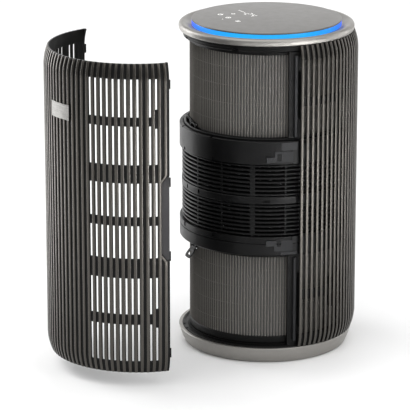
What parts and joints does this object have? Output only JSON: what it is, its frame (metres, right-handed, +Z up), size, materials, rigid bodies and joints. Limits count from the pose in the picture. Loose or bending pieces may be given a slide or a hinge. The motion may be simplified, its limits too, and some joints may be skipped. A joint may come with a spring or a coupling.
{
  "type": "air purifier",
  "caption": "Round tower air purifier with a ribbed casing, stacked pleated filters, a central fan with louvres and a pull-off front cover.",
  "frame": {"origin": "centre of the underside of the main unit's feet", "axes": "+Z up, -Y towards the open front and the front cover, +X to the unit's own left"},
  "size_m": [0.29, 0.5211, 0.5289],
  "materials": {
    "champagne": "satin",
    "rib_paint": "satin",
    "top_panel": "satin",
    "satin_black": "satin",
    "gloss_black": "gloss",
    "fan_plastic": "matte",
    "motor_metal": "satin",
    "steel": "satin",
    "winding": "satin",
    "filter_paper": "matte",
    "rubber": "matte",
    "circuit_board": "satin",
    "light_band": "gloss",
    "white_print": "matte",
    "brushed_plate": "brushed",
    "grip_plate": "satin",
    "grey_strip": "satin"
  },
  "bodies": {
    "main_unit": {"base_plate": "satin_black", "rubber_feet": "rubber", "base_screws": "steel", "base_skirt": "champagne", "filter_seat": "satin_black", "power_inlet": "satin_black", "power_board": "circuit_board", "lower_filter_media": "filter_paper", "lower_filter_core": "fan_plastic", "lower_ring_bottom": "satin_black", "lower_ring_top": "satin_black", "lower_filter_gasket": "rubber", "lower_tab_pin": "steel", "upper_filter_media": "filter_paper", "upper_filter_core": "fan_plastic", "upper_ring_bottom": "satin_black", "upper_ring_top": "satin_black", "upper_filter_gasket": "rubber", "upper_tab_pin": "steel", "lower_flange": "gloss_black", "upper_flange": "gloss_black", "lower_louvre": "gloss_black", "upper_louvre": "gloss_black", "middle_band": "gloss_black", "cover_catches": "gloss_black", "lower_inlet_ring": "fan_plastic", "upper_inlet_ring": "fan_plastic", "lower_finger_guard": "steel", "upper_finger_guard": "steel", "motor_mount": "motor_metal", "motor_housing": "motor_metal", "motor_stator": "winding", "motor_bearings": "steel", "rear_lattice": "satin_black", "rear_ribs": "rib_paint", "left_pillar": "satin_black", "right_pillar": "satin_black", "pillar_strips": "grey_strip", "wire_duct": "satin_black", "air_sensor": "fan_plastic", "top_collar": "satin_black", "cap_rim": "champagne", "light_ring": "light_band", "top_panel": "top_panel", "display_symbols": "white_print", "control_board": "circuit_board", "light_board": "circuit_board"},
    "front_cover": {"cover_lattice": "satin_black", "cover_ribs": "rib_paint", "cover_rails": "satin_black", "cover_clips": "satin_black", "grip_plates": "grip_plate", "name_plate": "brushed_plate"},
    "fan_rotor": {"motor_rotor": "motor_metal", "fan_shaft": "steel", "fan_wheel": "fan_plastic"},
    "upper_tab": {"upper_pull_tab": "satin_black"},
    "lower_tab": {"lower_pull_tab": "satin_black"}
  },
  "joints": [
    {"name": "cover_slide", "type": "slide", "parent": "main_unit", "child": "front_cover", "axis": [0, 1, 0], "range_m": [0, 0.23]},
    {"name": "fan_spin", "type": "hinge", "parent": "main_unit", "child": "fan_rotor", "pos_m": [0, 0, 0.2663], "axis": [0, 0, 1], "continuous": true},
    {"name": "upper_tab_fold", "type": "hinge", "parent": "main_unit", "child": "upper_tab", "pos_m": [-0.01363, -0.12345, 0.3695], "axis": [0.994, -0.1097, 0], "range_deg": [-36, 8]},
    {"name": "lower_tab_fold", "type": "hinge", "parent": "main_unit", "child": "lower_tab", "pos_m": [-0.01363, -0.12345, 0.1662], "axis": [-0.994, 0.1097, 0], "range_deg": [-36, 8]}
  ]
}
